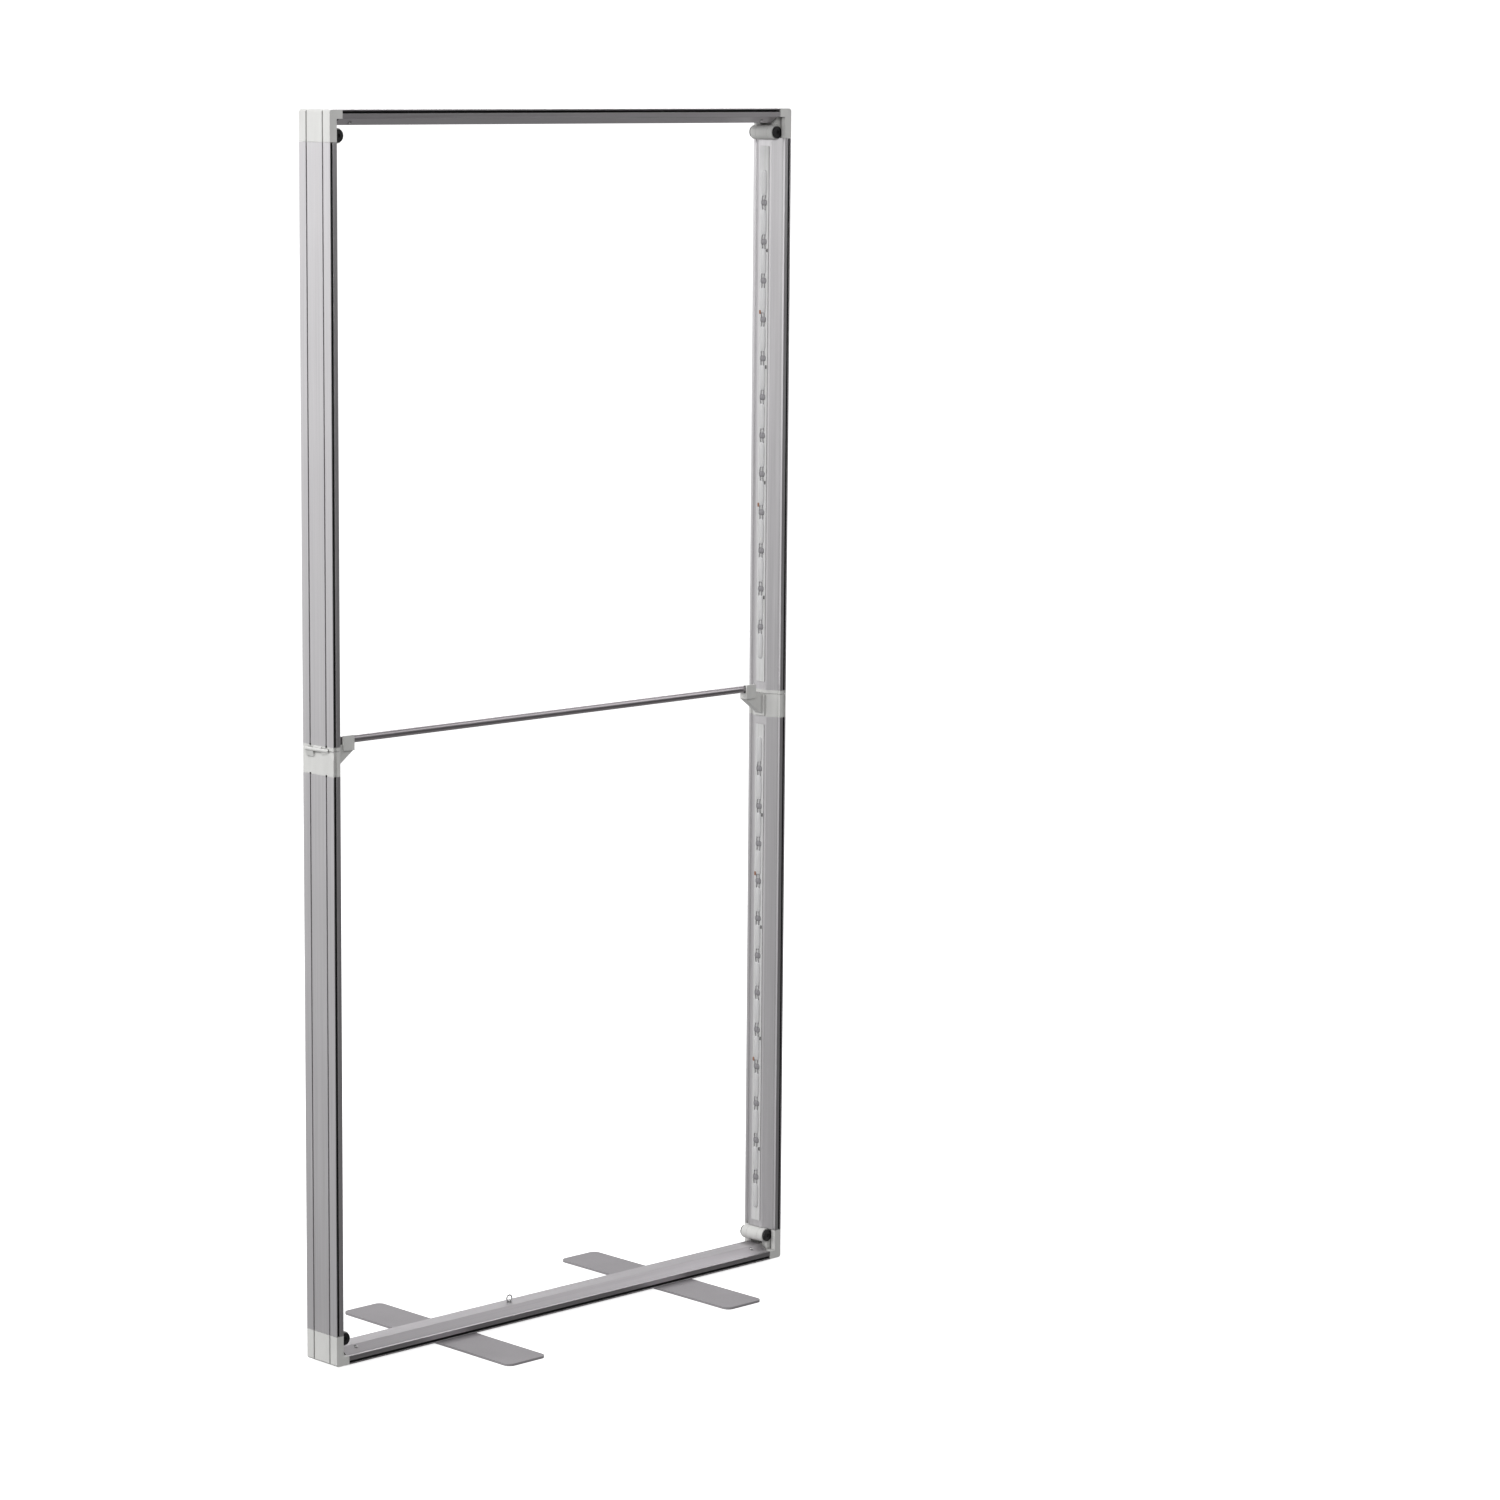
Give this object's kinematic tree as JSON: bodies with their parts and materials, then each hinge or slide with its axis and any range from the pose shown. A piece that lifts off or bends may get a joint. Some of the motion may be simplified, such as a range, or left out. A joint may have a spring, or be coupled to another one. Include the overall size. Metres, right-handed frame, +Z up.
{
  "type": "folding lightbox display",
  "caption": "Free-standing folding lightbox frame of hinged aluminium rails with edge lights, a locking crossbar and swivelling feet.",
  "frame": {"origin": "on the floor under the middle of the frame, at the bottom centre of the bounding box", "axes": "+X along the frame, +Y to its back, +Z up"},
  "size_m": [1.0146, 0.424, 2.0043],
  "materials": {
    "satin_aluminium": "satin anodised",
    "bar_aluminium": "satin anodised",
    "white_plastic": "satin moulded",
    "black_plastic": "satin moulded",
    "dark_steel": "blackened",
    "bright_steel": "plated",
    "foot_steel": "matte powder coat",
    "strip_board": "white solder resist",
    "clear_lens": "clear moulded",
    "driver_case": "painted"
  },
  "bodies": {
    "base": {"base_corner_screws": "bright_steel", "base_hinge_bolts": "dark_steel", "base_left_corner": "white_plastic", "base_rail": "satin_aluminium", "base_right_corner": "white_plastic", "foot_screws": "bright_steel", "led_driver": "driver_case", "power_inlet": "black_plastic", "tie_eyelet": "bright_steel"},
    "left_foot": {"left_foot": "foot_steel"},
    "right_foot": {"right_foot": "foot_steel"},
    "left_lower": {"left_lower_bar_bracket": "white_plastic", "left_lower_cap_screws": "bright_steel", "left_lower_connector": "black_plastic", "left_lower_led_board": "strip_board", "left_lower_led_lenses": "clear_lens", "left_lower_mid_cap": "white_plastic", "left_lower_mid_pin": "bright_steel", "left_lower_rail": "satin_aluminium", "left_lower_tongue": "white_plastic"},
    "left_upper": {"left_upper_cap_screws": "bright_steel", "left_upper_connector": "black_plastic", "left_upper_led_board": "strip_board", "left_upper_led_lenses": "clear_lens", "left_upper_mid_cap": "white_plastic", "left_upper_rail": "satin_aluminium", "left_upper_tongue": "white_plastic"},
    "right_lower": {"right_lower_bar_bracket": "white_plastic", "right_lower_cap_screws": "bright_steel", "right_lower_connector": "black_plastic", "right_lower_led_board": "strip_board", "right_lower_led_lenses": "clear_lens", "right_lower_mid_cap": "white_plastic", "right_lower_mid_pin": "bright_steel", "right_lower_rail": "satin_aluminium", "right_lower_tongue": "white_plastic"},
    "right_upper": {"right_upper_cap_screws": "bright_steel", "right_upper_connector": "black_plastic", "right_upper_led_board": "strip_board", "right_upper_led_lenses": "clear_lens", "right_upper_mid_cap": "white_plastic", "right_upper_rail": "satin_aluminium", "right_upper_tongue": "white_plastic"},
    "top": {"top_corner_screws": "bright_steel", "top_hinge_bolts": "dark_steel", "top_left_corner": "white_plastic", "top_rail": "satin_aluminium", "top_right_corner": "white_plastic"},
    "crossbar": {"crossbar_tips": "bar_aluminium", "crossbar_tube": "bar_aluminium"}
  },
  "joints": [
    {"name": "fold", "type": "hinge", "parent": "base", "child": "left_lower", "pos_m": [-0.476, 0, 0.0443], "axis": [-0.0872, 0.9962, 0], "range_deg": [0, 84]},
    {"name": "left_mid_hinge", "type": "hinge", "parent": "left_lower", "child": "left_upper", "pos_m": [-0.502, 0, 1.0043], "axis": [-0.0872, 0.9962, 0], "range_deg": [-168, 0]},
    {"name": "left_top_hinge", "type": "hinge", "parent": "left_upper", "child": "top", "pos_m": [-0.476, 0, 1.9643], "axis": [-0.0872, 0.9962, 0], "range_deg": [0, 84]},
    {"name": "right_corner_hinge", "type": "hinge", "parent": "base", "child": "right_lower", "pos_m": [0.476, 0, 0.0443], "axis": [-0.0872, 0.9962, 0], "range_deg": [-84, 0]},
    {"name": "right_mid_hinge", "type": "hinge", "parent": "right_lower", "child": "right_upper", "pos_m": [0.502, 0, 1.0043], "axis": [-0.0872, 0.9962, 0], "range_deg": [0, 168]},
    {"name": "crossbar_lift_out", "type": "slide", "parent": "base", "child": "crossbar", "axis": [0, 1, 0], "range_m": [0, 2.1268]},
    {"name": "left_foot_swivel", "type": "hinge", "parent": "base", "child": "left_foot", "pos_m": [-0.245, 0, 0.002], "axis": [0, 0, 1], "range_deg": [0, 90]},
    {"name": "right_foot_swivel", "type": "hinge", "parent": "base", "child": "right_foot", "pos_m": [0.245, 0, 0.002], "axis": [0, 0, 1], "range_deg": [-90, 0]}
  ],
  "couplings": [
    {"joint": "left_mid_hinge", "follows": "fold", "ratio": -2},
    {"joint": "left_top_hinge", "follows": "fold", "ratio": 1},
    {"joint": "right_corner_hinge", "follows": "fold", "ratio": -1},
    {"joint": "right_mid_hinge", "follows": "fold", "ratio": 2},
    {"joint": "crossbar_lift_out", "follows": "fold", "m_per_rad": 1.45}
  ]
}
